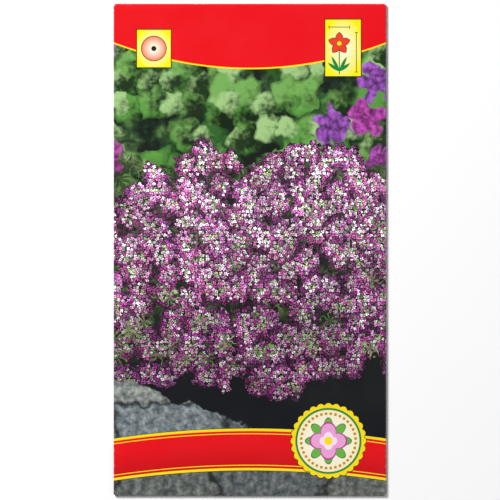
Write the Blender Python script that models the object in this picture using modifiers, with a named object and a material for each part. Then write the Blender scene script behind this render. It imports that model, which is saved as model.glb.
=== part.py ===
"""Sealed paper packet of sweet alyssum seed, lying on its back.

The packet is one sheet of film-laminated paper. Its two side panels fold behind
the front and lap over each other down the middle of the back, and a flap at the
bottom and one at the top fold over them. Inside lies a small glassine sachet,
folded from one sheet in the same way, and in the sachet lies the seed.

Metres, +Z up, +Y towards the top of the front print. The origin is under the
middle of the packet, on the surface that it lies on.
"""
import math
import random
from dataclasses import dataclass

import bmesh
import bpy
from mathutils import Euler, Matrix, Vector

MM = 0.001

# Driving dimensions
PACKET_WIDTH = 80 * MM
PACKET_HEIGHT = 144.5 * MM
PAPER = 0.14 * MM           # film-laminated paper
PAPER_PITCH = 0.26 * MM    # from one layer of paper to the next
PACKET_CROWN = 2.2 * MM     # rise of the front over what it holds
BACK_SAG = 0.2 * MM         # how far the back settles between the two flaps
SACHET_WIDTH = 50 * MM
SACHET_HEIGHT = 60 * MM
GLASSINE = 0.1 * MM
GLASSINE_PITCH = 0.22 * MM
SACHET_CROWN = 1.1 * MM
SACHET_CENTRE_Y = -14 * MM  # the sachet has slid towards the packet's foot
REST_GAP = 0.15 * MM        # between a piece and what it lies on
SEED_LENGTH = 1.5 * MM
SEED_WIDTH = 1.1 * MM
SEED_THICKNESS = 0.5 * MM
SEED_COUNT = 150
SEED_SPREAD = 0.52 * MM     # spacing rule of the seed's spiral
SEED_DRAW = 11

GRID_STEP = 5 * MM          # facets of the flat stretches
FOLD_STEPS = 4              # facets round each fold
CORNER_CUT = 0.08 * MM      # the flaps' roots stand this far inside the side folds
TINY = 0.0001 * MM          # a vertex holds its place to better than this


@dataclass
class Folded:
    """A flat packet folded from one sheet, with its size and how it is folded.

    Widths, heights and levels are those of the middle of the sheet's thickness.
    """

    width: float
    height: float
    sheet: float
    pitch: float
    lap: float              # how far each side panel passes the middle
    bottom_flap: float
    top_flap: float
    flap_taper: float       # how far each flap narrows at its end, per side
    crown: float
    crown_y: float          # where the front is highest
    sag: float
    centre: Vector          # middle of the face that it lies on

    @property
    def flap_level(self):
        return self.sheet / 2

    @property
    def outer_level(self):
        return self.flap_level + self.pitch

    @property
    def inner_level(self):
        return self.flap_level + 2 * self.pitch

    @property
    def front_level(self):
        return self.flap_level + 3 * self.pitch

    def side_radius(self, side):
        """The left panel lies under the right one, so its fold is the tighter."""
        level = self.outer_level if side > 0 else self.inner_level
        return (self.front_level - level) / 2

    @property
    def end_radius(self):
        return (self.front_level - self.flap_level) / 2

    @property
    def panel_end(self):
        """Half the length of the side panels, which stop inside the end folds."""
        return self.height / 2 - self.end_radius

    @property
    def flap_root(self):
        """Half the width of a flap at its fold."""
        return self.width / 2 - self.side_radius(1) - CORNER_CUT


def smooth(value):
    value = min(max(value, 0.0), 1.0)
    return value * value * (3 - 2 * value)


def crown_height(packet, x, y):
    """Rise of the front: a lens across the packet that dies away to its two ends."""
    across = 1 - (x / (packet.width / 2)) ** 2
    reach = packet.panel_end + (packet.crown_y if y < packet.crown_y else -packet.crown_y)
    along = max(1 - ((y - packet.crown_y) / reach) ** 2, 0.0) ** 2
    return packet.crown * max(across, 0.0) * along


def back_sag(packet, x, y):
    """Drop of the back between the flaps, dying away to the folds all round."""
    ease = packet.width / 10
    side = smooth((packet.width / 2 - abs(x)) / ease)
    flap = packet.top_flap if y > 0 else packet.bottom_flap
    end = smooth((packet.height / 2 - flap - abs(y)) / ease)
    return packet.sag * side * end


def fold_across(packet, s):
    """(x, level) of a place s across the blank, once its side panel is folded back."""
    side = 1 if s > 0 else -1
    radius = packet.side_radius(side)
    flat = packet.width / 2 - radius
    past = abs(s) - flat
    if past <= 0:
        return s, packet.front_level
    angle = past / radius
    if angle < math.pi:
        drop = radius * (1 - math.cos(angle))
        return side * (flat + radius * math.sin(angle)), packet.front_level - drop
    back = past - math.pi * radius
    return side * (flat - back), packet.front_level - 2 * radius


def fold_along(packet, t):
    """(y, level) of a place t along the blank, once its end flap is folded back."""
    end = 1 if t > 0 else -1
    radius = packet.end_radius
    past = abs(t) - packet.panel_end
    angle = past / radius
    if angle < math.pi:
        drop = radius * (1 - math.cos(angle))
        return end * (packet.panel_end + radius * math.sin(angle)), packet.front_level - drop
    back = past - math.pi * radius
    return end * (packet.panel_end - back), packet.flap_level


def spread_between(start, end, step):
    """Evenly spaced places from start to end, both included, no more than a step apart."""
    count = max(1, math.ceil(abs(end - start) / step - 1e-6))
    return [start + (end - start) * i / count for i in range(count + 1)]


def blank_columns(packet):
    """Places across the blank: inner panel, fold, front, fold, outer panel."""
    places = spread_between(-packet.flap_root, packet.flap_root, GRID_STEP)
    for side in (-1, 1):
        radius = packet.side_radius(side)
        flat = packet.width / 2 - radius
        turn = math.pi * radius
        places += [side * (flat + turn * i / FOLD_STEPS) for i in range(FOLD_STEPS + 1)]
        back = spread_between(flat + turn, 2 * flat + turn + packet.lap, GRID_STEP)
        places += [side * place for place in back[1:]]
    return sorted(places)


def blank_rows(packet):
    """Places along the blank: bottom flap, fold, panels, fold, top flap."""
    places = spread_between(-packet.panel_end, packet.panel_end, GRID_STEP)
    turn = math.pi * packet.end_radius
    for end, flap in ((-1, packet.bottom_flap), (1, packet.top_flap)):
        places += [end * (packet.panel_end + turn * (i + 1) / FOLD_STEPS) for i in range(FOLD_STEPS)]
        flat = spread_between(packet.panel_end + turn, packet.panel_end + turn + flap, GRID_STEP)
        places += [end * place for place in flat[1:]]
    return sorted(places)


def cut_blank(packet):
    """The flat sheet as cut: a grid without the four corners beside the flaps."""
    columns = blank_columns(packet)
    rows = blank_rows(packet)
    blank = bmesh.new()
    bmesh.ops.create_grid(blank, x_segments=len(columns) - 1, y_segments=len(rows) - 1, size=0.5)
    for vertex in blank.verts:
        column = round((vertex.co.x + 0.5) * (len(columns) - 1))
        row = round((vertex.co.y + 0.5) * (len(rows) - 1))
        vertex.co = (columns[column], rows[row], 0)
    corners = []
    for face in blank.faces:
        middle = face.calc_center_median()
        if abs(middle.x) > packet.flap_root and abs(middle.y) > packet.panel_end:
            corners.append(face)
    bmesh.ops.delete(blank, geom=corners, context="FACES")
    return blank


def folded_place(packet, s, t):
    """Where the place (s, t) of the flat blank lies in the folded packet."""
    if abs(t) > packet.panel_end + TINY:
        y, level = fold_along(packet, t)
        flap = packet.top_flap if t > 0 else packet.bottom_flap
        turned = abs(t) - packet.panel_end - math.pi * packet.end_radius
        narrow = packet.flap_taper * max(turned, 0.0) / flap
        return Vector((s * (1 - narrow / packet.flap_root), y, level))
    x, level = fold_across(packet, s)
    on_front = abs(s) <= packet.width / 2 - packet.side_radius(1 if s > 0 else -1) + TINY
    if on_front:
        level += crown_height(packet, x, t)
    elif level <= packet.inner_level + TINY:
        level -= back_sag(packet, x, t)
    return Vector((x, t, level))


def plain_material(name, colour, roughness):
    material = bpy.data.materials.new(name)
    material.use_nodes = True
    shader = material.node_tree.nodes["Principled BSDF"]
    shader.inputs["Base Color"].default_value = (*colour, 1)
    shader.inputs["Roughness"].default_value = roughness
    material.diffuse_color = (*colour, 1)
    return material


def folded_packet(name, packet, material, collection):
    """Folds the blank and gives it the thickness of its sheet."""
    blank = cut_blank(packet)
    for vertex in blank.verts:
        vertex.co = packet.centre + folded_place(packet, vertex.co.x, vertex.co.y)
    mesh = bpy.data.meshes.new(name)
    blank.to_mesh(mesh)
    blank.free()
    mesh.shade_smooth()
    mesh.materials.append(material)
    obj = bpy.data.objects.new(name, mesh)
    collection.objects.link(obj)
    wall = obj.modifiers.new("sheet thickness", "SOLIDIFY")
    wall.thickness = packet.sheet
    wall.offset = 0
    return obj


def seed_shape():
    """One flat oval seed, as a low sphere."""
    seed = bmesh.new()
    bmesh.ops.create_uvsphere(seed, u_segments=6, v_segments=3, radius=0.5)
    bmesh.ops.scale(seed, vec=(SEED_LENGTH, SEED_WIDTH, SEED_THICKNESS), verts=seed.verts)
    mesh = bpy.data.meshes.new("one seed")
    seed.to_mesh(mesh)
    seed.free()
    return mesh


def seed_heap(name, centre, material, collection):
    """The seed, laid in a spiral from the middle out, each one touching its neighbours."""
    draw = random.Random(SEED_DRAW)
    shape = seed_shape()
    golden_angle = math.pi * (3 - math.sqrt(5))
    loose = bpy.data.collections.new("loose seed")
    bpy.context.scene.collection.children.link(loose)
    heap = None
    for i in range(SEED_COUNT):
        distance = SEED_SPREAD * math.sqrt(i + 0.5)
        turn = i * golden_angle
        lift = SEED_THICKNESS / 2 + draw.uniform(0.03, 0.1) * MM
        place = Vector((distance * math.cos(turn), distance * math.sin(turn), lift))
        tilt = Euler((draw.uniform(-0.08, 0.08), draw.uniform(-0.08, 0.08), draw.uniform(0, math.pi)))
        seed = bpy.data.objects.new(f"seed {i}", shape.copy())
        seed.data.transform(Matrix.Translation(centre + place) @ tilt.to_matrix().to_4x4())
        if heap is None:
            heap = seed
            heap.name = name
            collection.objects.link(heap)
        else:
            loose.objects.link(seed)
    join = heap.modifiers.new("touching seeds", "BOOLEAN")
    join.operation = "UNION"
    join.operand_type = "COLLECTION"
    join.collection = loose
    join.solver = "EXACT"
    bpy.context.view_layer.update()
    evaluated = heap.evaluated_get(bpy.context.evaluated_depsgraph_get())
    joined = bpy.data.meshes.new_from_object(evaluated)
    heap.modifiers.clear()
    heap.data = joined
    for seed in list(loose.objects):
        bpy.data.objects.remove(seed)
    bpy.data.collections.remove(loose)
    heap.data.materials.clear()
    heap.data.materials.append(material)
    return heap


def build():
    for obj in list(bpy.data.objects):
        bpy.data.objects.remove(obj)
    parts = bpy.data.collections.new("seed packet")
    bpy.context.scene.collection.children.link(parts)

    packet = Folded(
        width=PACKET_WIDTH - PAPER, height=PACKET_HEIGHT - PAPER, sheet=PAPER, pitch=PAPER_PITCH,
        lap=5 * MM, bottom_flap=14 * MM, top_flap=18 * MM, flap_taper=5 * MM,
        crown=PACKET_CROWN, crown_y=-10 * MM, sag=BACK_SAG, centre=Vector((0, 0, 0)),
    )
    sachet_floor = packet.inner_level - packet.sag + PAPER / 2 + REST_GAP
    sachet = Folded(
        width=SACHET_WIDTH - GLASSINE, height=SACHET_HEIGHT - GLASSINE, sheet=GLASSINE, pitch=GLASSINE_PITCH,
        lap=4 * MM, bottom_flap=9 * MM, top_flap=12 * MM, flap_taper=3 * MM,
        crown=SACHET_CROWN, crown_y=-4 * MM, sag=0.0,
        centre=Vector((0, SACHET_CENTRE_Y, sachet_floor)),
    )
    seed_floor = sachet_floor + sachet.inner_level + GLASSINE / 2 + REST_GAP / 2

    printed = plain_material("printed laminated paper", (0.62, 0.20, 0.42), 0.35)
    glassine = plain_material("glassine", (0.80, 0.79, 0.72), 0.45)
    seed_coat = plain_material("seed coat", (0.30, 0.13, 0.05), 0.6)

    folded_packet("envelope", packet, printed, parts)
    folded_packet("inner_sachet", sachet, glassine, parts)
    seed_middle = Vector((0, SACHET_CENTRE_Y + sachet.crown_y, seed_floor))
    seed_heap("seeds", seed_middle, seed_coat, parts)


build()
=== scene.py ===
"""Looks of a paper packet of sweet alyssum seed, lying face up on a white table.

The envelope is modelled anew as one folded sheet of film-laminated paper with its
print. The glassine sachet and the seed inside it keep their solids and get their
finish here.

Metres, +Z up, +Y towards the top of the front print. Patterns are in millimetres.
"""
import math
from functools import partial
from types import SimpleNamespace

import bmesh
import bpy
from bpy.props import FloatProperty, FloatVectorProperty, PointerProperty
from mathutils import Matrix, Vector, noise


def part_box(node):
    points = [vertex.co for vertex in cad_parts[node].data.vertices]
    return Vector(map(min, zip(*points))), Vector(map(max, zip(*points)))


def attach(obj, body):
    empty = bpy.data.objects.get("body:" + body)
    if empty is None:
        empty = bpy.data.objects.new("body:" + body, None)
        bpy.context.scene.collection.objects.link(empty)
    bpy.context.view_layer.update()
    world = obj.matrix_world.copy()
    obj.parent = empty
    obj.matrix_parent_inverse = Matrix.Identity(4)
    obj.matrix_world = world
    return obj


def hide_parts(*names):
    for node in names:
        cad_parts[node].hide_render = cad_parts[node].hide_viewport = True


bl_info = {
    "name": "Seed packet",
    "version": (1, 0, 0),
    "blender": (4, 5, 0),
    "location": "3D Viewport > Sidebar > Seed packet",
    "description": "Makes a printed paper packet of flower seed and its studio",
    "category": "Add Mesh",
}

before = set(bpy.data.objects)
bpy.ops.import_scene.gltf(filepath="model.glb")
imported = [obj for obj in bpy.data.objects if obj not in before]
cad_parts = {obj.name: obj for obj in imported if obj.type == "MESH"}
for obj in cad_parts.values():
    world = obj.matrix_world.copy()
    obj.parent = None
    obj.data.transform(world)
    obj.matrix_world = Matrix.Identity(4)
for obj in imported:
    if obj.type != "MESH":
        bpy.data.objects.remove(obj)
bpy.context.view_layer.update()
PACKET_LOW, PACKET_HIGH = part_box("envelope")
SACHET_LOW, SACHET_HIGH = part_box("inner_sachet")

MM = 0.001
TINY = 0.002 * MM
PHOTO_PIXELS = 500
PIXEL = 0.2936 * MM         # size of one pixel of the photograph on the packet

# The sheet
FOLD_STEPS = 8
BACK, FRONT, BARE = range(3)        # its materials, in the order of their slots
SACHET_EDGE = 4 * MM                # over which the sachet's edge rises under the front
WAVE_LENGTH = (0.03, 0.045)
SMOOTH_ANGLE = math.radians(40)
UNWRAP_ANGLE = math.radians(66)
# Middle and size of the front on the texture map, and corner and size of the rest
FRONT_SHARE = ((0.3, 0.5), (0.592, 0.988))
REST_SHARE = ((0.61, 0.005), (0.385, 0.99))

# The print, in millimetres from the middle of the packet
HALF_WIDTH, HALF_HEIGHT = 40.0, 72.25
WEAR_REACH = 0.4
# Garden leaves: spacing, lobes, reach, lobe depth, soft rim, offset, colours in shade and light
GARDEN_LEAVES = (
    (11.0, 5, 6.0, 0.16, 0.30, (11, 3), "#0D190F", "#33652B"),
    (9.0, 6, 4.8, 0.14, 0.26, (2, 31), "#10220E", "#5C9A42"),
    (9.0, 5, 4.4, 0.16, 0.24, (37, 9), "#142A10", "#76AC57"),
    (8.5, 7, 3.4, 0.12, 0.22, (23, 17), "#1A3415", "#A2C983"))
# The plant's leaves: spacing, leaves in a rosette, reach, offset, colour in the light
PLANT_LEAVES = (
    (7.0, 9, 5.2, (3, 8), "#5F8044"),
    (6.0, 8, 4.2, (27, 4), "#86A85C"),
    (8.0, 7, 3.6, (9, 41), "#B4C893"))
# Florets: size against the set one, offset, brightness, how much of a head they cover
FLORETS = (
    (1.1, (31, 7), 0.34, 0.80),
    (1.0, (5, 43), 0.82, 0.68),
    (0.9, (0, 0), 1.38, 0.56))
# Sprigs: reach, offset, colour in the light
SPRIGS = (
    (4.2, (13, 22), "#86B45C"),
    (3.2, (41, 6), "#BAD890"))
LEAF_TOP = 36
MOUND_TOP, MOUND_FOOT, MOUND_MIDDLE = 36.0, -49.0, 6.0
STONE_TOP = -47.5
HEADER_EDGE, HEADER_RISE = 53.0, 7.5        # in the middle, and from there to the sides
BAND_LEVEL, BAND_FALL = -58.5, 3.0
RING_TILE = ((-28.2, 59.1), (4.95, 5.5))    # middle and half size
SIZE_TILE = ((27.3, 59.3), (5.2, 8.3))
FLOWER_STALK_X = 26.2
SEAL_CENTRE = (23.0, -56.0)
BEADS, BEAD_RING, BEAD_RADIUS = 36, 8.0, 0.42
SIGN_LEVEL, SIGN_STEP = -34.0, 20.0
RULED_LINES, LINE_TOP, LINE_STEP = 7, 38.0, 5
MONTHS, MONTH_LEFT, MONTH_STEP, MONTH_LEVEL = 12, -30.25, 5.5, -10.0

# The studio
TABLE_SIZE = 6
TABLE_GAP = 0.05 * MM
SKY_STRENGTH = 0.12
# Lights: name, place, size, setting of the power
LIGHTS = (
    ("key", (-0.6, 0.6, 0.75), 0.4, "key_power"),
    ("fill", (0.75, -0.2, 0.8), 0.9, "fill_power"),
    ("low fill", (-0.1, -0.9, 0.6), 0.9, "fill_power"))


def linear_colour(hex_code):
    """Linear red, green and blue of an sRGB hex colour."""
    values = [int(hex_code[i:i + 2], 16) / 255 for i in (1, 3, 5)]
    return tuple(v / 12.92 if v <= 0.04045 else ((v + 0.055) / 1.055) ** 2.4 for v in values)


def length_property(name, description, default, **limits):
    return FloatProperty(name=name, description=description, default=default, unit="LENGTH",
                         subtype="DISTANCE", precision=5, **limits)


def colour_property(name, description, hex_code):
    return FloatVectorProperty(name=name, description=description, subtype="COLOR", size=3,
                               min=0, max=1, default=linear_colour(hex_code))


class SeedPacketPaper(bpy.types.PropertyGroup):
    """Size of the sheet and of its folds."""

    width: length_property("Width", "Width of the folded packet", PACKET_HIGH.x - PACKET_LOW.x)
    height: length_property("Height", "Height of the folded packet", PACKET_HIGH.y - PACKET_LOW.y)
    thickness: length_property("Paper", "Thickness of the paper with its film", 0.14 * MM)
    pitch: length_property("Layer pitch", "From one layer of paper to the next", 0.26 * MM)
    lap: length_property("Lap", "How far each side panel passes the middle of the back", 5 * MM)
    bottom_flap: length_property("Bottom flap", "Length of the bottom flap", 14 * MM)
    top_flap: length_property("Top flap", "Length of the top flap", 18 * MM)
    flap_taper: length_property("Flap taper", "How far each flap narrows on each side", 5 * MM)
    corner_cut: length_property("Corner cut", "Step from the side folds to the flaps", 0.08 * MM)
    crown: length_property("Crown", "Rise of the front over what it holds", 2.05 * MM)
    crown_y: length_property("Crown place", "Where the front is highest", -10 * MM)
    sag: length_property("Sag", "How far the back settles between the flaps", 0.2 * MM)
    ridge: length_property("Ridge", "How far the sachet shows through the front", 0.16 * MM)
    wave: length_property("Waves", "Height of the paper's slight waves", 0.12 * MM)
    step: length_property("Mesh step", "Size of one face of the sheet", 1.4 * MM, min=0.0005)


class SeedPacketPrint(bpy.types.PropertyGroup):
    """Colours and sizes of the print."""

    band_red: colour_property("Band", "Red of the header and the footer", "#EA0C18")
    line_yellow: colour_property("Line", "Yellow of the keylines", "#FFE11A")
    tile_yellow: colour_property("Tile", "Yellow of the two tiles", "#FFF000")
    ink: colour_property("Ink", "Near black of outlines and signs", "#1E1A17")
    petal_white: colour_property("Young petal", "Petals in the middle of a flower head", "#FFF2FA")
    petal_lilac: colour_property("Petal", "Petals half-way out on a flower head", "#E49ACB")
    petal_magenta: colour_property("Old petal", "Petals at the rim of a flower head", "#BC3A92")
    bud_green: colour_property("Bud", "Buds in the middle of a flower head", "#A9BE82")
    leaf_green: colour_property("Leaf", "Leaves in the light", "#87A55C")
    shade_green: colour_property("Shade", "Dark between the leaves", "#141C16")
    floret: length_property("Floret", "Distance between florets", 1.12 * MM)
    head: length_property("Flower head", "Distance between flower heads", 5.4 * MM)


class SeedPacketStudio(bpy.types.PropertyGroup):
    """Camera and light."""

    camera_height: length_property("Camera height", "Distance from camera to packet", 1.2)
    key_power: FloatProperty(name="Key light", description="Power of the light from upper left",
                             unit="POWER", default=15)
    fill_power: FloatProperty(name="Fill light", description="Power of the light from the right",
                              unit="POWER", default=2)


def rgba(colour):
    """A hex colour, or linear red, green and blue, with its alpha."""
    return (*(linear_colour(colour) if isinstance(colour, str) else colour), 1)


def join(tree, socket, value):
    """Sets an input, or links it to a node's first output or to one given by name."""
    if isinstance(value, bpy.types.Node):
        value = next(output for output in value.outputs if output.enabled)
    elif isinstance(value, tuple) and isinstance(value[0], bpy.types.Node):
        value = value[0].outputs[value[1]]
    if isinstance(value, bpy.types.NodeSocket):
        tree.links.new(value, socket)
    elif socket.type == "RGBA":
        socket.default_value = rgba(value)
    else:
        socket.default_value = value


def add_node(tree, kind, *inputs, named=None, stops=None, **settings):
    """Adds a node, with its settings, its inputs in order or by name, and a ramp's stops."""
    node = tree.nodes.new("ShaderNode" + kind)
    for setting, value in settings.items():
        setattr(node, setting, value)
    sockets = [socket for socket in node.inputs if socket.enabled]
    for i, value in enumerate(inputs):
        join(tree, sockets[i], value)
    for name, value in (named or {}).items():
        join(tree, node.inputs[name], value)
    if stops:
        elements = node.color_ramp.elements
        while len(elements) < len(stops):
            elements.new(1)
        for element, (place, colour) in zip(elements, stops):
            element.position = place
            element.color = rgba(colour)
    return node


def new_material(name):
    """A material, what adds a node to it, and the packet's coordinates in millimetres."""
    material = bpy.data.materials.new(name)
    material.use_nodes = True
    add = partial(add_node, material.node_tree)
    coordinates = add("TexCoord")
    place = add("VectorMath", (coordinates, "Object"), 1 / MM, operation="SCALE")
    return material, add, place


def set_surface(material, inputs):
    """Gives the material's shader its inputs by name."""
    shader = material.node_tree.nodes["Principled BSDF"]
    for name, value in inputs.items():
        join(material.node_tree, shader.inputs[name], value)


def overprint(add, picture, layers):
    """Prints layers over a picture, each a mask and its colour."""
    for mask, colour in layers:
        picture = add("Mix", mask, picture, colour, data_type="RGBA")
    return picture


def box_mask(add, x, y, centre, half_size):
    """1 inside an upright box, 0 outside."""
    across = add("Math", x, centre[0], half_size[0], operation="COMPARE")
    along = add("Math", y, centre[1], half_size[1], operation="COMPARE")
    return add("Math", across, along, operation="MULTIPLY")


def lobed_rim(add, turned, reach, depth):
    """The lobes of a flower, 0 to 1 round its middle, and how far out its rim is there."""
    wave = add("Math", turned, operation="COSINE")
    lobe = add("Math", wave, operation="ABSOLUTE")
    rim = add("Math", lobe, reach * depth, reach * (1 - depth), operation="MULTIPLY_ADD")
    return lobe, rim


def round_mask(add, place, centre, radius, lobes=0, depth=0.0):
    """1 inside a disc, or inside a flower with so many lobes of that depth."""
    local = add("VectorMath", place, (-centre[0], -centre[1], 0), operation="ADD")
    flat = add("VectorMath", local, (1, 1, 0), operation="MULTIPLY")
    reach = add("VectorMath", flat, operation="LENGTH")
    rim = radius
    if lobes:
        parts = add("SeparateXYZ", flat)
        angle = add("Math", (parts, "Y"), (parts, "X"), operation="ARCTAN2")
        turned = add("Math", angle, lobes / 2, operation="MULTIPLY")
        _, rim = lobed_rim(add, turned, radius, depth)
    return add("Math", (reach, "Value"), rim, operation="LESS_THAN")


def leaf_mask(add, place, root, angle, length, width):
    """1 inside a pointed leaf that grows from its root at an angle from +X."""
    local = add("VectorMath", place, (-root[0], -root[1], 0), operation="ADD")
    turned = add("VectorRotate", named={"Vector": local, "Angle": -angle}, rotation_type="Z_AXIS")
    parts = add("SeparateXYZ", turned)
    rest = add("Math", length, (parts, "X"), operation="SUBTRACT")
    bulge = add("Math", (parts, "X"), rest, operation="MULTIPLY")
    limit = add("Math", bulge, 2 * width / length ** 2, operation="MULTIPLY")
    across = add("Math", (parts, "Y"), operation="ABSOLUTE")
    return add("Math", across, limit, operation="LESS_THAN")


def scattered(add, place, spacing, offset, randomness):
    """Cells with one motif in each, and a point's place from the middle of its cell."""
    moved = add("VectorMath", place, (*offset, 0), operation="ADD")
    cells = add("TexVoronoi", voronoi_dimensions="2D",
                named={"Vector": moved, "Scale": 1 / spacing, "Randomness": randomness})
    local = add("VectorMath", moved, (cells, "Position"), operation="SUBTRACT")
    parts = add("SeparateXYZ", local)
    radius = add("VectorMath", local, operation="LENGTH")
    return SimpleNamespace(
        moved=moved, cells=cells, draw=add("SeparateColor", (cells, "Color")), parts=parts,
        angle=add("Math", (parts, "Y"), (parts, "X"), operation="ARCTAN2"),
        radius=(radius, "Value"))


def cell_middle(add, motif, offset):
    """Middle of a motif's cell on the print."""
    return add("VectorMath", (motif.cells, "Position"), (-offset[0], -offset[1], 0),
               operation="ADD")


def rosette_layer(add, place, spacing, leaves, reach, breadth, blur, offset, bright, dark,
                  share=1.0):
    """Narrow leaves spreading from many middles: their colour, and 1 where there is a leaf."""
    curl, sway = 0.09, 2.2
    motif = scattered(add, place, spacing, offset, 1)
    bend = add("Math", motif.radius, curl, (motif.draw, "Red"), operation="MULTIPLY_ADD")
    uneven = add("TexNoise", named={"Vector": motif.moved, "Scale": 0.35}, noise_dimensions="2D")
    bend = add("Math", uneven, sway, bend, operation="MULTIPLY_ADD")
    turned = add("Math", motif.angle, leaves / (2 * math.pi), bend, operation="MULTIPLY_ADD")
    number = add("Math", turned, operation="FLOOR")
    within = add("Math", turned, operation="FRACT")
    aside = add("Math", within, 0.5, operation="SUBTRACT")
    width = add("Math", motif.radius, 2 * math.pi / leaves, operation="MULTIPLY")
    across = add("Math", aside, width, operation="MULTIPLY")

    # each leaf has its own length
    mixed = add("CombineXYZ", number, (motif.draw, "Green"))
    chance = (add("TexWhiteNoise", mixed, noise_dimensions="2D"), "Value")
    length = add("Math", chance, 0.5 * reach, 0.65 * reach, operation="MULTIPLY_ADD")
    along = add("Math", motif.radius, length, operation="DIVIDE", use_clamp=True)
    swell = add("Math", along, math.pi, operation="MULTIPLY")
    profile = add("Math", swell, operation="SINE")
    half_width = add("Math", profile, breadth, operation="MULTIPLY")
    off_rib = add("Math", across, operation="ABSOLUTE")
    inside = add("Math", half_width, off_rib, operation="SUBTRACT")
    mask = add("MapRange", inside, -blur, blur)
    chosen = add("Math", (motif.draw, "Blue"), share, operation="LESS_THAN")
    mask = add("Math", mask, chosen, operation="MULTIPLY")

    # and its own tone, brighter on one side and towards the tip
    lit_side = add("Math", across, 0.4 / breadth, 0.75, operation="MULTIPLY_ADD", use_clamp=True)
    tone = add("Math", chance, 0.75, 0.25, operation="MULTIPLY_ADD")
    tone = add("Math", tone, lit_side, operation="MULTIPLY")
    tip = add("Math", along, 0.7, 0.45, operation="MULTIPLY_ADD")
    tone = add("Math", tone, tip, operation="MULTIPLY", use_clamp=True)
    return add("Mix", tone, dark, bright, data_type="RGBA"), mask


def floret_layer(add, place, spacing, head, offset, tones, shade, rich):
    """Four-petalled florets in round heads.

    It gives their colour, 1 on a petal, 1 on and round it, a floret's middle, and the heads.
    """
    # each floret is turned its own way and has its own size
    motif = scattered(add, place, spacing, offset, 0.85)
    middle = cell_middle(add, motif, offset)
    turned = add("Math", (motif.draw, "Red"), math.pi, motif.angle, operation="MULTIPLY_ADD")
    doubled = add("Math", turned, 2, operation="MULTIPLY")
    _, rim = lobed_rim(add, doubled, spacing * 0.66, 0.62)
    size = add("Math", (motif.draw, "Green"), 0.35, 0.72, operation="MULTIPLY_ADD")
    rim = add("Math", rim, size, operation="MULTIPLY")
    mask = add("Math", motif.radius, rim, operation="LESS_THAN")
    surround = add("Math", rim, 0.3, operation="ADD")
    surround = add("Math", motif.radius, surround, operation="LESS_THAN")

    # a floret's age, and so its colour, follows its place in the head
    heads = add("TexVoronoi", named={"Vector": middle, "Scale": 1 / head, "Randomness": 0.95},
                voronoi_dimensions="2D")
    stray = add("Math", (motif.draw, "Green"), 0.85, -0.36, operation="MULTIPLY_ADD")
    age = add("Math", (heads, "Distance"), stray, operation="ADD", use_clamp=True)
    colour = add("ValToRGB", age, stops=tones)
    head_draw = add("SeparateColor", (heads, "Color"))
    value = add("Math", (head_draw, "Red"), 0.4, 0.5, operation="MULTIPLY_ADD")
    value = add("Math", (motif.draw, "Blue"), 1.0, value, operation="MULTIPLY_ADD")
    hue = add("Math", (head_draw, "Green"), 0.04, 0.462, operation="MULTIPLY_ADD")

    # petals are pale at their tips, and dark towards the throat
    tip = add("Math", motif.radius, rim, operation="DIVIDE", use_clamp=True)
    throat = add("MapRange", tip, 0.0, 0.8, 0.2, 1.1)
    for factor in (shade, throat):
        value = add("Math", value, factor, operation="MULTIPLY")
    pale = add("MapRange", tip, 0.5, 1.0, 1.02, 0.56)
    pale = add("Math", pale, rich, operation="MULTIPLY")
    tinted = add("HueSaturation",
                 named={"Color": colour, "Value": value, "Hue": hue, "Saturation": pale})
    return tinted, mask, surround, middle, heads


def lobed_rounds(add, place, spacing, lobes, reach, depth, offset):
    """Lobed rounds, one to a cell: the motif, a point's distance in rims, and the lobes."""
    motif = scattered(add, place, spacing, offset, 0.7)
    start = add("Math", (motif.draw, "Blue"), 6.0, operation="MULTIPLY")
    turned = add("Math", motif.angle, lobes / 2, start, operation="MULTIPLY_ADD")
    lobe, rim = lobed_rim(add, turned, reach, depth)
    return motif, add("Math", motif.radius, rim, operation="DIVIDE"), lobe


def garden(add, place, blur):
    """The ground of the picture, out of focus: round leaves over dark gaps, and blossoms."""
    picture = add("ValToRGB", (blur, "Fac"), stops=[
        (0.36, "#0B120C"), (0.52, "#16261A"), (0.64, "#2E4A28"), (0.76, "#57793F")])
    fold = add("TexNoise", named={"Vector": place, "Scale": 0.22, "Detail": 1.5},
               noise_dimensions="2D")
    bent = add("VectorMath", (fold, "Color"), (6.0, 6.0, 0), operation="MULTIPLY")
    bent = add("VectorMath", bent, place, operation="ADD")
    mottle = add("TexNoise", named={"Vector": place, "Scale": 0.7, "Detail": 3},
                 noise_dimensions="2D")
    mottle = add("MapRange", mottle, 0.3, 0.7, -0.2, 0.12)
    for spacing, lobes, reach, depth, soft, offset, dark, bright in GARDEN_LEAVES:
        motif, out, lobe = lobed_rounds(add, bent, spacing, lobes, reach, depth, offset)
        mask = add("MapRange", out, 1 + soft, 1 - soft)
        chosen = add("Math", (motif.draw, "Red"), 0.4, operation="GREATER_THAN")
        mask = add("Math", mask, chosen, operation="MULTIPLY")
        tone = add("Math", (motif.parts, "Y"), (motif.parts, "X"), operation="SUBTRACT")
        tone = add("Math", tone, 0.32 / reach, (motif.draw, "Green"), operation="MULTIPLY_ADD")
        tone = add("Math", out, 0.25, tone, operation="MULTIPLY_ADD")
        vein = add("Math", lobe, 0.12, -0.5, operation="MULTIPLY_ADD")
        tone = add("Math", tone, vein, operation="ADD")
        tone = add("Math", (fold, "Fac"), 0.9, tone, operation="MULTIPLY_ADD")
        tone = add("Math", mottle, tone, operation="ADD")
        tone = add("MapRange", tone, 0.1, 1.0, interpolation_type="SMOOTHSTEP")
        leaf = add("Mix", tone, dark, bright, data_type="RGBA")
        picture = add("Mix", mask, picture, leaf, data_type="RGBA")
    return blossoms(add, picture, place, bent)


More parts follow.
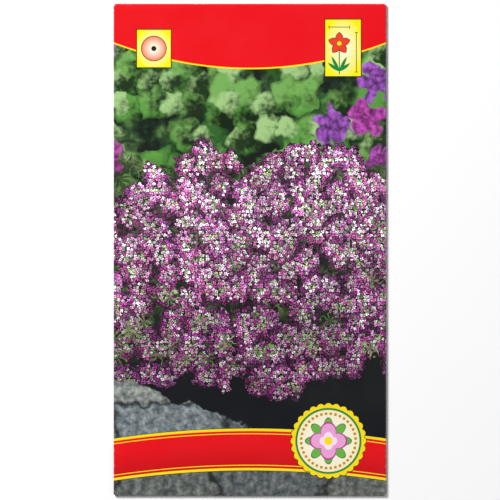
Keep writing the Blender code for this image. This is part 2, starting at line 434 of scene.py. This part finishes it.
def blossoms(add, picture, place, bent):
    """A few big ruffled blossoms, out of focus, to the sides of the garden."""
    offset = (6, 2)
    motif, out, lobe = lobed_rounds(add, bent, 13.0, 5, 6.0, 0.34, offset)
    middle = add("SeparateXYZ", cell_middle(add, motif, offset))
    side = add("Math", (middle, "X"), operation="ABSOLUTE")
    outer = add("Math", side, 16.0, operation="GREATER_THAN")
    above = add("Math", (middle, "Y"), 22.0, operation="GREATER_THAN")
    chosen = add("Math", (motif.draw, "Red"), 0.42, operation="GREATER_THAN")
    mask = add("MapRange", out, 1.08, 0.9)
    for test in (outer, above, chosen):
        mask = add("Math", mask, test, operation="MULTIPLY")
    petal = add("Mix", (motif.draw, "Green"), "#7C62C8", "#E8359E", data_type="RGBA")
    crease = add("Math", lobe, 0.7, 0.3, operation="MULTIPLY_ADD")
    bright = add("Math", out, 0.5, crease, operation="MULTIPLY_ADD")
    ruffle = add("TexNoise", named={"Vector": place, "Scale": 0.6, "Detail": 3},
                 noise_dimensions="2D")
    ruffle = add("MapRange", ruffle, 0.3, 0.7, 0.25, 1.0)
    bright = add("Math", bright, ruffle, operation="MULTIPLY")
    blossom = add("VectorMath", petal, bright, operation="SCALE")
    return add("Mix", mask, picture, blossom, data_type="RGBA")


def growth(add, heads, cover):
    """Chance of a floret, by its head's place in the mound and its own place in the head."""
    where = add("SeparateXYZ", (heads, "Position"))
    ragged = add("TexNoise", named={"Vector": (heads, "Position"), "Scale": 0.09, "Detail": 2},
                 noise_dimensions="2D")
    off_top = add("Math", (where, "X"), MOUND_MIDDLE, operation="SUBTRACT")
    slope = add("Math", off_top, off_top, operation="MULTIPLY")
    mound = add("Math", slope, 0.0055, (where, "Y"), operation="MULTIPLY_ADD")
    top = add("Math", (ragged, "Fac"), 14, mound, operation="MULTIPLY_ADD")
    present = add("Math", top, MOUND_TOP, operation="LESS_THAN")
    foot = add("Math", (ragged, "Fac"), -18, (where, "Y"), operation="MULTIPLY_ADD")
    above_foot = add("Math", foot, MOUND_FOOT, operation="GREATER_THAN")
    full = add("MapRange", (heads, "Distance"), cover + 0.1, cover - 0.1)
    for factor in (above_foot, full, 0.9):
        present = add("Math", present, factor, operation="MULTIPLY")
    return present


def flower_heads(add, picture, place, y, deep, ink):
    """Three layers of florets, the deepest darkest, over their own dark gaps."""
    tones = [(0.0, ink.bud_green), (0.10, "#DDE8CC"), (0.19, ink.petal_white),
             (0.34, ink.petal_lilac), (0.58, ink.petal_magenta), (0.90, "#7A1B62")]
    relief = add("TexNoise", named={"Vector": place, "Scale": 0.07, "Detail": 1},
                 noise_dimensions="2D")
    relief = add("MapRange", (relief, "Fac"), 0.35, 0.62, 0.72, 1.1)
    foot = add("MapRange", y, 16.0, -42.0, 1.0, 0.4)
    rich = add("MapRange", y, 10.0, -42.0, 1.0, 1.18)
    crevices = add("TexVoronoi", named={"Vector": place, "Scale": 1.05, "Randomness": 1},
                   voronoi_dimensions="2D", feature="DISTANCE_TO_EDGE")
    crevices = add("MapRange", (crevices, "Distance"), 0.02, 0.2, 0.27, 1.38)
    light = relief
    for factor in (foot, crevices):
        light = add("Math", light, factor, operation="MULTIPLY")
    for size, offset, brightness, cover in FLORETS:
        shade = add("Math", light, brightness, operation="MULTIPLY")
        colour, mask, surround, middle, heads = floret_layer(
            add, place, ink.floret / MM * size, ink.head / MM, offset, tones, shade, rich)
        present = growth(add, heads, cover)
        chance = add("TexWhiteNoise", middle, noise_dimensions="2D")
        drawn = add("Math", (chance, "Value"), present, operation="LESS_THAN")
        for factor in (drawn, 0.88):
            surround = add("Math", surround, factor, operation="MULTIPLY")
        mask = add("Math", mask, drawn, operation="MULTIPLY")
        picture = overprint(add, picture, [(surround, deep), (mask, colour)])
    return picture


def front_picture(add, place, x, y, ink):
    """The print's picture: flower heads over leaves, a soft garden above and stones below."""
    blur = add("TexNoise", named={"Vector": place, "Scale": 0.16, "Detail": 3, "Roughness": 0.55},
               noise_dimensions="2D")
    picture = garden(add, place, blur)

    # the plant's own leaves, drawn sharp, from under the garden down
    parting = add("Math", (blur, "Fac"), 22, y, operation="MULTIPLY_ADD")
    leafy = add("Math", parting, LEAF_TOP, operation="LESS_THAN")
    for spacing, leaves, reach, offset, bright in PLANT_LEAVES:
        colour, mask = rosette_layer(add, place, spacing, leaves, reach, 0.5, 0.08, offset,
                                     bright, ink.shade_green)
        mask = add("Math", mask, leafy, operation="MULTIPLY")
        picture = add("Mix", mask, picture, colour, data_type="RGBA")

    # deep shade behind the flowers
    depth = add("TexNoise", named={"Vector": place, "Scale": 0.14, "Detail": 2},
                noise_dimensions="2D")
    depth = add("MapRange", (depth, "Fac"), 0.4, 0.62, 0.97, 0.45)
    low = add("MapRange", y, -20.0, -40.0, 0.0, 0.8)
    depth = add("Math", depth, low, operation="ADD", use_clamp=True)
    mass = add("MapRange", y, 28.0, 18.0)
    depth = add("Math", depth, mass, operation="MULTIPLY")
    deep = add("Mix", low, ink.shade_green, "#12131A", data_type="RGBA")
    picture = add("Mix", depth, picture, deep, data_type="RGBA")
    picture = flower_heads(add, picture, place, y, deep, ink)

    # a few sprigs of leaves stand out of the flowers
    within_mass = add("Math", y, -10.0, 24.0, operation="COMPARE")
    for reach, offset, bright in SPRIGS:
        colour, mask = rosette_layer(add, place, 8.0, 6, reach, 0.26, 0.05, offset, bright,
                                     "#1E3A1A", share=0.2)
        mask = add("Math", mask, within_mass, operation="MULTIPLY")
        picture = add("Mix", mask, picture, colour, data_type="RGBA")
    return stones(add, picture, place, x, y, blur)


def stones(add, picture, place, x, y, blur):
    """Worn stone blocks at the foot, paler on the left and in shade on the right."""
    grit = add("TexNoise", named={"Vector": place, "Scale": 0.5, "Detail": 6, "Roughness": 0.62},
               noise_dimensions="2D")
    uneven = add("VectorMath", (blur, "Color"), (7, 7, 0), operation="MULTIPLY")
    uneven = add("VectorMath", uneven, place, operation="ADD")
    long_way = add("VectorMath", uneven, (0.75, 1.25, 0), operation="MULTIPLY")
    laid = {"Vector": long_way, "Scale": 0.042, "Randomness": 0.7}
    joints = add("TexVoronoi", named=laid, voronoi_dimensions="2D", feature="DISTANCE_TO_EDGE")
    blocks = add("TexVoronoi", named=laid, voronoi_dimensions="2D")
    stone = add("ValToRGB", (grit, "Fac"), stops=[
        (0.28, "#4A5254"), (0.5, "#7E8484"), (0.74, "#B6B8B2")])
    cast = add("Mix", (blocks, "Color"), "#D8D6CC", "#AEB9C6", data_type="RGBA")
    stone = add("Mix", 1.0, stone, cast, data_type="RGBA", blend_type="MULTIPLY")
    joint = add("MapRange", (joints, "Distance"), 0.0, 0.06, 0.2, 1.0,
                interpolation_type="SMOOTHSTEP")
    stone = add("VectorMath", stone, joint, operation="SCALE")
    side = add("MapRange", x, -14.0, 6.0, 1.65, 0.5)
    floor = add("MapRange", y, -56.0, -62.0, 0.0, 1.0)
    lit = add("Mix", floor, side, 0.9)
    stone = add("VectorMath", stone, lit, operation="SCALE")
    floor_line = add("Math", (blur, "Fac"), 8, y, operation="MULTIPLY_ADD")
    floor_line = add("Math", x, 0.36, floor_line, operation="MULTIPLY_ADD")
    stony = add("MapRange", floor_line, STONE_TOP, STONE_TOP - 0.6)
    return add("Mix", stony, picture, stone, data_type="RGBA")


def header(add, picture, x, y, ink):
    """Red band with a yellow line along its curved lower edge."""
    span = add("Math", x, x, operation="MULTIPLY")
    edge = add("Math", span, HEADER_RISE / HALF_WIDTH ** 2, HEADER_EDGE, operation="MULTIPLY_ADD")
    over = add("Math", y, edge, operation="SUBTRACT")
    line = add("Math", over, 0.0, operation="GREATER_THAN")
    band = add("Math", over, 0.45, operation="GREATER_THAN")
    return overprint(add, picture, [(line, ink.line_yellow), (band, ink.band_red)])


def tile(add, picture, place, x, y, centre, half_size, ink):
    """Yellow tile, paler in its middle, with a thin dark outline."""
    outline = box_mask(add, x, y, centre, (half_size[0] + 0.25, half_size[1] + 0.25))
    field = box_mask(add, x, y, centre, half_size)
    local = add("VectorMath", place, (-centre[0], -centre[1], 0), operation="ADD")
    spread = add("VectorMath", local, (1 / half_size[0], 1 / half_size[1], 0),
                 operation="MULTIPLY")
    reach = add("VectorMath", spread, operation="LENGTH")
    glow = add("MapRange", (reach, "Value"), 0.1, 1.1)
    ground = add("Mix", glow, "#FFFADC", ink.tile_yellow, data_type="RGBA")
    return overprint(add, picture, [(outline, ink.ink), (field, ground)])


def ring_tile(add, picture, place, x, y, ink):
    """The old sign for an annual plant: a circle with a dot in it."""
    centre = RING_TILE[0]
    picture = tile(add, picture, place, x, y, *RING_TILE, ink)
    local = add("VectorMath", place, (-centre[0], -centre[1], 0), operation="ADD")
    reach = add("VectorMath", local, operation="LENGTH")
    warm = add("MapRange", (reach, "Value"), 1.0, 3.6)
    disc = add("Mix", warm, "#FFF1D8", "#EE7A50", data_type="RGBA")
    return overprint(add, picture, [
        (round_mask(add, place, centre, radius), colour)
        for radius, colour in ((3.75, ink.ink), (3.55, disc), (0.75, ink.ink))])


def size_tile(add, picture, place, x, y, ink):
    """How tall and wide the plant grows: a flower with an arrow above and one beside it."""
    picture = tile(add, picture, place, x, y, *SIZE_TILE, ink)
    root, bloom = (FLOWER_STALK_X, 52.4), (FLOWER_STALK_X, 60.6)
    leaf = "#0E8A3C"
    layers = [(box_mask(add, x, y, (FLOWER_STALK_X, 55.5), (0.16, 4.0)), leaf)]
    for angle, length in ((2.5, 4.2), (2.05, 5.0), (1.1, 4.8), (0.65, 4.0)):
        layers.append((leaf_mask(add, place, root, angle, length, 0.95), leaf))
    for length, width, colour in ((3.42, 2.3, "#8C1A10"), (3.2, 1.9, "#EA4326")):
        for degrees in range(18, 360, 72):
            petal = leaf_mask(add, place, bloom, math.radians(degrees), length, width)
            layers.append((petal, colour))
    layers.append((round_mask(add, place, bloom, 0.65), ink.line_yellow))

    # the two arrows, each a line with a bar across both ends
    marks = [((31.2, 58.0), (0.1, 5.8)), ((FLOWER_STALK_X, 65.4), (3.0, 0.1))]
    marks += [((31.2, end), (0.45, 0.1)) for end in (52.2, 63.8)]
    marks += [((end, 65.4), (0.1, 0.45)) for end in (23.2, 29.2)]
    layers += [(box_mask(add, x, y, *mark), ink.ink) for mark in marks]
    return overprint(add, picture, layers)


def footer(add, picture, place, x, y, ink):
    """Gently arched red band with yellow edges and pinstripes, and a seal towards its end."""
    span = add("Math", x, x, operation="MULTIPLY")
    arch = add("Math", span, BAND_FALL / HALF_WIDTH ** 2, y, operation="MULTIPLY_ADD")
    over = add("Math", arch, -BAND_LEVEL, operation="ADD")
    height = add("Math", over, operation="ABSOLUTE")
    sheen = add("MapRange", over, -6.0, 3.0, 0.72, 1.0, interpolation_type="SMOOTHSTEP")
    red = add("VectorMath", ink.band_red, sheen, operation="SCALE")
    picture = overprint(add, picture, [
        (add("Math", height, half_height, operation="LESS_THAN"), colour)
        for half_height, colour in ((6.3, ink.ink), (6.15, ink.line_yellow), (5.4, red),
                                    (4.75, ink.line_yellow), (4.5, red))])
    return seal(add, picture, place, ink)


def seal(add, picture, place, ink):
    """Scalloped seal: an open flower with its leaves in a ring of beads."""
    local = add("VectorMath", place, (-SEAL_CENTRE[0], -SEAL_CENTRE[1], 0), operation="ADD")
    parts = add("SeparateXYZ", local)
    angle = add("Math", (parts, "Y"), (parts, "X"), operation="ARCTAN2")
    radius = add("VectorMath", local, operation="LENGTH")
    turned = add("Math", angle, BEADS / (2 * math.pi), operation="MULTIPLY")
    around = add("Math", turned, operation="FRACT")
    around = add("Math", around, -0.5, operation="ADD")
    around = add("Math", around, 2 * math.pi * BEAD_RING / BEADS, operation="MULTIPLY")
    outwards = add("Math", (radius, "Value"), BEAD_RING, operation="SUBTRACT")
    bead = add("CombineXYZ", around, outwards)
    bead = add("VectorMath", bead, operation="LENGTH")
    bead = add("Math", (bead, "Value"), BEAD_RADIUS, operation="LESS_THAN")
    glow = add("MapRange", (radius, "Value"), 2.0, 9.0)
    ground = add("Mix", glow, "#FFFFFA", "#FBEFC4", data_type="RGBA")
    layers = [(round_mask(add, place, SEAL_CENTRE, reach, lobes, depth), colour)
              for reach, lobes, depth, colour in (
                  (11.3, 28, 0.06, ink.ink), (11.1, 28, 0.06, ink.line_yellow),
                  (9.7, 0, 0, "#2E8B3D"), (9.1, 0, 0, ground),
                  (6.9, 8, 0.5, "#2F7A34"), (6.6, 8, 0.5, "#6DB44A"),
                  (5.6, 4, 0.42, ink.petal_magenta), (5.1, 4, 0.42, "#F0A6DA"),
                  (2.6, 4, 0.3, "#FCE6F6"), (1.2, 0, 0, ink.line_yellow))]
    return overprint(add, picture, [*layers, (bead, "#C98A12")])


def fold_wear(add, colour, x, y):
    """Pale flecks where the print has cracked along the folds."""
    near = []
    for along, half_size in ((x, HALF_WIDTH), (y, HALF_HEIGHT)):
        distance = add("Math", along, operation="ABSOLUTE")
        near.append(add("MapRange", distance, half_size - WEAR_REACH, half_size - 0.02))
    near = add("Math", *near, operation="MAXIMUM")
    both = add("CombineXYZ", x, y)
    flecks = add("TexNoise", named={"Vector": both, "Scale": 1.3, "Detail": 4, "Roughness": 0.7},
                 noise_dimensions="2D")
    worn = add("MapRange", flecks, 0.6, 0.8)
    worn = add("Math", worn, near, operation="MULTIPLY")
    return add("Mix", worn, colour, "#EFE9E2", data_type="RGBA")


def film_surface(material, add, place, colour):
    """Plastic film over ink: glossy and smooth, with the faint wave of the paper under it."""
    orange_peel = add("TexNoise", named={"Vector": place, "Scale": 0.35, "Detail": 3})
    bump = add("Bump", named={"Height": orange_peel, "Distance": 0.02 * MM})
    dulling = add("TexNoise", named={"Vector": place, "Scale": 0.06, "Detail": 4})
    roughness = add("MapRange", dulling, 0.3, 0.7, 0.2, 0.34)
    set_surface(material, {"Base Color": colour, "Roughness": roughness, "Normal": bump,
                           "IOR": 1.49})


def front_print(ink):
    """Offset print under a glossy film: full colours, with a soft sheen from the light."""
    material, add, place = new_material("film-laminated front print")
    place = add("VectorMath", place, (1, 1, 0), operation="MULTIPLY")
    parts = add("SeparateXYZ", place)
    x, y = (parts, "X"), (parts, "Y")
    picture = front_picture(add, place, x, y, ink)
    picture = header(add, picture, x, y, ink)
    for print_sign in (ring_tile, size_tile, footer):
        picture = print_sign(add, picture, place, x, y, ink)
    picture = fold_wear(add, picture, x, y)
    film_surface(material, add, place, picture)
    return material


def growing_signs(add, colour, place, x, y, ink):
    """Three signs in green rings: sun, water, and a sprout over soil."""
    sun, water, sprout = ((offset, SIGN_LEVEL) for offset in (-SIGN_STEP, 0.0, SIGN_STEP))
    blue, soil, stem, leaf = "#3C8FD6", "#7A4B2A", "#3F8F3A", "#5DAA3C"
    layers = [(round_mask(add, place, centre, reach), ring) for centre in (sun, water, sprout)
              for reach, ring in ((7.4, ink.leaf_green), (6.9, "#FBFAF6"))]
    drop_tip, drop_round = (water[0], SIGN_LEVEL + 5.2), (water[0], SIGN_LEVEL - 1.8)
    fork = (sprout[0], SIGN_LEVEL + 1.0)
    layers += [
        (round_mask(add, place, sun, 5.0, 12, 0.34), ink.line_yellow),
        (round_mask(add, place, sun, 2.9), "#F7A823"),
        (leaf_mask(add, place, drop_tip, -math.pi / 2, 9.6, 2.6), blue),
        (round_mask(add, place, drop_round, 2.9), blue),
        (box_mask(add, x, y, (sprout[0], SIGN_LEVEL - 3.2), (4.6, 0.9)), soil),
        (box_mask(add, x, y, (sprout[0], SIGN_LEVEL - 0.6), (0.2, 1.8)), stem),
        (leaf_mask(add, place, fork, 0.7, 4.6, 1.2), leaf),
        (leaf_mask(add, place, fork, math.pi - 0.7, 4.6, 1.2), leaf)]
    return overprint(add, colour, layers)


def back_print(ink):
    """Print on film-laminated paper: clean white, with red ends, ruled lines and a calendar."""
    material, add, place = new_material("film-laminated back print")
    parts = add("SeparateXYZ", place)
    x, y = (parts, "X"), (parts, "Y")
    mottle = add("TexNoise", named={"Vector": place, "Scale": 0.5, "Detail": 5})
    paper = add("ValToRGB", mottle, stops=[(0.3, "#F3F1EA"), (0.7, "#FBFAF6")])
    grey = "#8C8A86"
    layers = [(box_mask(add, x, y, (0, LINE_TOP - LINE_STEP * row), (31.0, 0.14)), grey)
              for row in range(RULED_LINES)]
    fills = {**dict.fromkeys((3, 4, 5, 6), ink.petal_lilac),
             **dict.fromkeys((7, 8, 9), ink.leaf_green)}
    for month in range(MONTHS):
        middle = (MONTH_LEFT + MONTH_STEP * month, MONTH_LEVEL)
        layers += [(box_mask(add, x, y, middle, (half_size, half_size)), colour)
                   for half_size, colour in ((2.55, grey), (2.4, fills.get(month, "#FBFAF6")))]
    colour = overprint(add, paper, layers)
    colour = growing_signs(add, colour, place, x, y, ink)
    colour = overprint(add, colour, [
        (add("Math", y, edge, operation=side), band) for edge, side, band in (
            (53.6, "GREATER_THAN", ink.line_yellow), (54.2, "GREATER_THAN", ink.band_red),
            (-57.6, "LESS_THAN", ink.line_yellow), (-58.2, "LESS_THAN", ink.band_red))])
    colour = fold_wear(add, colour, x, y)
    film_surface(material, add, place, colour)
    return material


def bare_paper():
    """Uncoated side and cut edges of the paper: white, dull and finely fibrous."""
    material, add, place = new_material("uncoated white paper")
    fibres = add("TexNoise", named={"Vector": place, "Scale": 4, "Detail": 6, "Roughness": 0.7})
    colour = add("ValToRGB", fibres, stops=[(0.3, "#E4E0D6"), (0.7, "#F6F4EE")])
    bump = add("Bump", named={"Height": fibres, "Distance": 0.01 * MM})
    set_surface(material, {"Base Color": colour, "Normal": bump, "Roughness": 0.85, "IOR": 1.5})
    return material


def glassine_paper():
    """Glassine, a thin dense paper: cream, smooth and slightly shiny, with cloudy fibres."""
    material, add, place = new_material("glassine paper")
    clouds = add("TexNoise", named={"Vector": place, "Scale": 0.6, "Detail": 6, "Roughness": 0.65})
    colour = add("ValToRGB", clouds, stops=[(0.3, "#D2CFBF"), (0.7, "#EDEBE0")])
    bump = add("Bump", named={"Height": clouds, "Distance": 0.02 * MM})
    set_surface(material, {"Base Color": colour, "Normal": bump, "Roughness": 0.42, "IOR": 1.5})
    return material


def seed_coat():
    """Dry seed coat: tan to brown, dull, finely pitted."""
    material, add, place = new_material("dry seed coat")
    patches = add("TexVoronoi", named={"Vector": place, "Scale": 0.9})
    grain = add("TexNoise", named={"Vector": place, "Scale": 5, "Detail": 4})
    drift = add("Math", (patches, "Distance"), (grain, "Fac"), operation="MULTIPLY")
    colour = add("ValToRGB", drift, stops=[
        (0.05, "#7A4A22"), (0.3, "#A9713A"), (0.6, "#C99A5E")])
    bump = add("Bump", named={"Height": grain, "Distance": 0.05 * MM})
    set_surface(material, {"Base Color": colour, "Normal": bump, "Roughness": 0.7})
    return material


def select_border(mesh, test):
    """Selects only the open edges whose two ends both pass the test."""
    sheet = bmesh.from_edit_mesh(mesh)
    sheet.select_mode = {"EDGE"}
    for part in (*sheet.verts, *sheet.edges, *sheet.faces):
        part.select = False
    for edge in sheet.edges:
        if edge.is_boundary and all(test(vertex.co) for vertex in edge.verts):
            edge.select_set(True)
    bmesh.update_edit_mesh(mesh)


def smooth(value):
    """Eases a value in and out between 0 and 1."""
    value = min(max(value, 0.0), 1.0)
    return value * value * (3 - 2 * value)


def folded_sheet(paper):
    """The envelope's one sheet, folded: front, side folds and panels, end folds and flaps."""
    width = paper.width - paper.thickness
    height = paper.height - paper.thickness
    flap_level = paper.thickness / 2
    front_level = flap_level + 3 * paper.pitch
    end_radius = (front_level - flap_level) / 2
    side_radius = {1: (front_level - flap_level - paper.pitch) / 2,
                   -1: (front_level - flap_level - 2 * paper.pitch) / 2}
    panel_end = height / 2 - end_radius
    flap_root = width / 2 - side_radius[1] - paper.corner_cut

    bpy.ops.object.select_all(action="DESELECT")
    bpy.ops.mesh.primitive_grid_add(
        x_subdivisions=round(2 * flap_root / paper.step),
        y_subdivisions=round(2 * panel_end / paper.step), size=1, location=(0, 0, front_level))
    sheet = bpy.context.object
    sheet.name = sheet.data.name = "envelope_paper"
    sheet.scale = (2 * flap_root, 2 * panel_end, 1)
    bpy.ops.object.transform_apply(location=True, rotation=False, scale=True)

    def extrude(x, y):
        bpy.ops.mesh.extrude_region_move(TRANSFORM_OT_translate={"value": (x, y, 0)})

    bpy.ops.object.mode_set(mode="EDIT")
    for side, radius in side_radius.items():
        fold_x = width / 2 - radius
        select_border(sheet.data, lambda co: abs(co.x - side * flap_root) < TINY)
        extrude(side * (fold_x - flap_root), 0)
        bpy.ops.mesh.spin(steps=FOLD_STEPS, angle=-side * math.pi, axis=(0, 1, 0),
                          center=(side * fold_x, 0, front_level - radius))
        reach = fold_x + paper.lap
        steps = round(reach / paper.step)
        for _ in range(steps):
            extrude(-side * reach / steps, 0)
    for end, flap in ((1, paper.top_flap), (-1, paper.bottom_flap)):
        select_border(sheet.data, lambda co: abs(co.y - end * panel_end) < TINY
                      and abs(co.x) < flap_root + TINY and abs(co.z - front_level) < TINY)
        bpy.ops.mesh.spin(steps=FOLD_STEPS, angle=end * math.pi, axis=(1, 0, 0),
                          center=(0, end * panel_end, front_level - end_radius))
        steps = round(flap / paper.step)
        for i in range(steps):
            extrude(0, -end * flap / steps)
            before, after = (flap_root - paper.flap_taper * k / steps for k in (i, i + 1))
            bpy.ops.transform.resize(value=(after / before, 1, 1), center_override=(0, 0, 0))
    bpy.ops.mesh.select_all(action="SELECT")
    bpy.ops.mesh.normals_make_consistent(inside=False)
    bpy.ops.object.mode_set(mode="OBJECT")
    return sheet, front_level, panel_end


def front_rise(paper, x, y, panel_end):
    """Rise of the front: a lens over what it holds, the sachet's edge, and slight waves."""
    across = max(1 - (x / (paper.width / 2)) ** 2, 0.0)
    reach = panel_end + (paper.crown_y if y < paper.crown_y else -paper.crown_y)
    along = max(1 - ((y - paper.crown_y) / reach) ** 2, 0.0)
    inset = min(x - SACHET_LOW.x, SACHET_HIGH.x - x, y - SACHET_LOW.y, SACHET_HIGH.y - y)
    over_sachet = smooth(0.5 + inset / SACHET_EDGE)
    spot = Vector((x / WAVE_LENGTH[0], y / WAVE_LENGTH[1], 4.2))
    wave = noise.fractal(spot, 1.0, 2.0, 3)
    edge = smooth(across * 3) * smooth(along * 3)
    return (paper.crown * across * along ** 2
            + edge * (paper.ridge * over_sachet + paper.wave * wave))


def back_drop(paper, x, y):
    """Drop of the back between the two flaps."""
    ease = paper.width / 10
    flap = paper.top_flap if y > 0 else paper.bottom_flap
    side = smooth((paper.width / 2 - abs(x)) / ease)
    end = smooth((paper.height / 2 - flap - abs(y)) / ease)
    return paper.sag * side * end


def lay_out_texture(sheet, paper, front_level):
    """Spreads the sheet on its texture map, with the larger part for the front print."""
    mesh = sheet.data
    mesh.uv_layers.active = mesh.uv_layers.new(name="OFBake")
    bpy.ops.object.mode_set(mode="EDIT")
    shell = bmesh.from_edit_mesh(mesh)
    shell.select_mode = {"FACE"}
    front = {face.index for face in shell.faces
             if face.material_index == FRONT and face.normal.z > 0.7
             and face.calc_center_median().z > front_level}
    for face in shell.faces:
        face.select_set(face.index not in front)
    bmesh.update_edit_mesh(mesh)
    bpy.ops.uv.smart_project(angle_limit=UNWRAP_ANGLE, island_margin=0.003)
    bpy.ops.object.mode_set(mode="OBJECT")
    for face in mesh.polygons:
        for corner in face.loop_indices:
            spot = mesh.uv_layers.active.data[corner]
            if face.index in front:
                co = mesh.vertices[mesh.loops[corner].vertex_index].co
                start, size = FRONT_SHARE
                u, v = co.x / paper.width, co.y / paper.height
            else:
                start, size = REST_SHARE
                u, v = spot.uv
            spot.uv = (start[0] + size[0] * u, start[1] + size[1] * v)


class MESH_OT_seed_packet_envelope(bpy.types.Operator):
    """Fold the envelope from one sheet of printed paper"""

    bl_idname = "mesh.seed_packet_envelope"
    bl_label = "Envelope"
    bl_options = {"REGISTER", "UNDO"}

    def execute(self, context):
        paper = context.scene.seed_packet_paper
        ink = context.scene.seed_packet_print
        sheet, front_level, panel_end = folded_sheet(paper)
        mesh = sheet.data
        for material in (back_print(ink), front_print(ink), bare_paper()):
            mesh.materials.append(material)
        fold_x = paper.width / 2 - 1.5 * paper.pitch
        fold_y = paper.height / 2 - 2 * paper.pitch
        for face in mesh.polygons:
            x, y, z = face.center
            on_front = z > front_level - TINY or abs(x) > fold_x or abs(y) > fold_y
            face.material_index = FRONT if on_front else BACK
        for vertex in mesh.vertices:
            x, y, z = vertex.co
            if z > front_level - TINY and abs(y) <= panel_end + TINY:
                vertex.co.z += front_rise(paper, x, y, panel_end)
            elif abs(y) < panel_end - TINY and z < front_level - paper.pitch / 2:
                vertex.co.z -= back_drop(paper, x, y)
        bpy.ops.object.shade_smooth()
        wall = sheet.modifiers.new("paper thickness", "SOLIDIFY")
        wall.thickness = paper.thickness
        wall.offset = 0
        wall.material_offset = wall.material_offset_rim = BARE
        bpy.ops.object.modifier_apply(modifier=wall.name)
        bpy.ops.object.shade_smooth_by_angle(angle=SMOOTH_ANGLE)
        lay_out_texture(sheet, paper, front_level)
        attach(sheet, "root")
        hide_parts("envelope")
        return {"FINISHED"}


def finish_node(name, material):
    """Gives a carried-over solid its finish."""
    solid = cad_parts[name]
    solid.data.materials.clear()
    solid.data.materials.append(material)


class MESH_OT_seed_packet_sachet(bpy.types.Operator):
    """Give the inner sachet its glassine paper"""

    bl_idname = "mesh.seed_packet_sachet"
    bl_label = "Inner sachet"
    bl_options = {"REGISTER", "UNDO"}

    def execute(self, context):
        finish_node("inner_sachet", glassine_paper())
        return {"FINISHED"}


class MESH_OT_seed_packet_seeds(bpy.types.Operator):
    """Give the seed its dry brown coat"""

    bl_idname = "mesh.seed_packet_seeds"
    bl_label = "Seed"
    bl_options = {"REGISTER", "UNDO"}

    def execute(self, context):
        finish_node("seeds", seed_coat())
        return {"FINISHED"}


def soft_light(name, place, size, power):
    """A square soft box turned towards the packet."""
    light = bpy.data.lights.new(name, "AREA")
    light.size = size
    light.energy = power
    lamp = bpy.data.objects.new(name, light)
    lamp.location = place
    lamp.rotation_euler = (-Vector(place)).to_track_quat("-Z", "Y").to_euler()
    bpy.context.scene.collection.objects.link(lamp)


class SCENE_OT_seed_packet_stage(bpy.types.Operator):
    """Set up the table, the lights and the camera above the packet"""

    bl_idname = "scene.seed_packet_stage"
    bl_label = "Stage"
    bl_options = {"REGISTER", "UNDO"}

    def execute(self, context):
        studio = context.scene.seed_packet_studio
        bpy.ops.object.select_all(action="DESELECT")
        bpy.ops.mesh.primitive_plane_add(size=TABLE_SIZE, location=(0, 0, -TABLE_GAP))
        table = bpy.context.object
        table.name = "table"
        # matte white paint, so that nothing but the shadow shows on it
        material = bpy.data.materials.new("matte white table")
        material.use_nodes = True
        set_surface(material, {"Base Color": (0.98, 0.98, 0.98), "Roughness": 1.0,
                               "Specular IOR Level": 0.0})
        table.data.materials.append(material)

        for name, place, size, power in LIGHTS:
            soft_light(name, place, size, getattr(studio, power))
        world = bpy.data.worlds.new("studio")
        context.scene.world = world
        world.use_nodes = True
        background = world.node_tree.nodes["Background"]
        background.inputs["Color"].default_value = (1, 1, 1, 1)
        background.inputs["Strength"].default_value = SKY_STRENGTH
        context.scene.view_settings.view_transform = "Standard"

        data = bpy.data.cameras.new("camera")
        camera = bpy.data.objects.new("camera", data)
        context.scene.collection.objects.link(camera)
        camera.location = (0, 0, studio.camera_height)
        data.sensor_fit = "HORIZONTAL"
        data.angle = 2 * math.atan(PHOTO_PIXELS * PIXEL / 2 / studio.camera_height)
        data.clip_start = 0.01
        context.scene.camera = camera
        return {"FINISHED"}


class VIEW3D_PT_seed_packet(bpy.types.Panel):
    """Lists the packet's pieces with their sizes and colours"""

    bl_label = "Seed packet"
    bl_space_type = "VIEW_3D"
    bl_region_type = "UI"
    bl_category = "Seed packet"

    def draw(self, context):
        for group, operators in (
                ("seed_packet_paper", (MESH_OT_seed_packet_envelope,)),
                ("seed_packet_print", (MESH_OT_seed_packet_sachet, MESH_OT_seed_packet_seeds)),
                ("seed_packet_studio", (SCENE_OT_seed_packet_stage,))):
            settings = getattr(context.scene, group)
            for name in settings.__annotations__:
                self.layout.prop(settings, name)
            for operator in operators:
                self.layout.operator(operator.bl_idname)


GROUPS = {"seed_packet_paper": SeedPacketPaper, "seed_packet_print": SeedPacketPrint,
          "seed_packet_studio": SeedPacketStudio}
CLASSES = (*GROUPS.values(), MESH_OT_seed_packet_envelope, MESH_OT_seed_packet_sachet,
           MESH_OT_seed_packet_seeds, SCENE_OT_seed_packet_stage, VIEW3D_PT_seed_packet)


def register():
    for cls in CLASSES:
        bpy.utils.register_class(cls)
    for name, group in GROUPS.items():
        setattr(bpy.types.Scene, name, PointerProperty(type=group))


def unregister():
    for name in GROUPS:
        delattr(bpy.types.Scene, name)
    for cls in reversed(CLASSES):
        bpy.utils.unregister_class(cls)


def main():
    register()
    bpy.ops.mesh.seed_packet_envelope()
    bpy.ops.mesh.seed_packet_sachet()
    bpy.ops.mesh.seed_packet_seeds()
    bpy.ops.scene.seed_packet_stage()


if __name__ == "__main__":
    main()
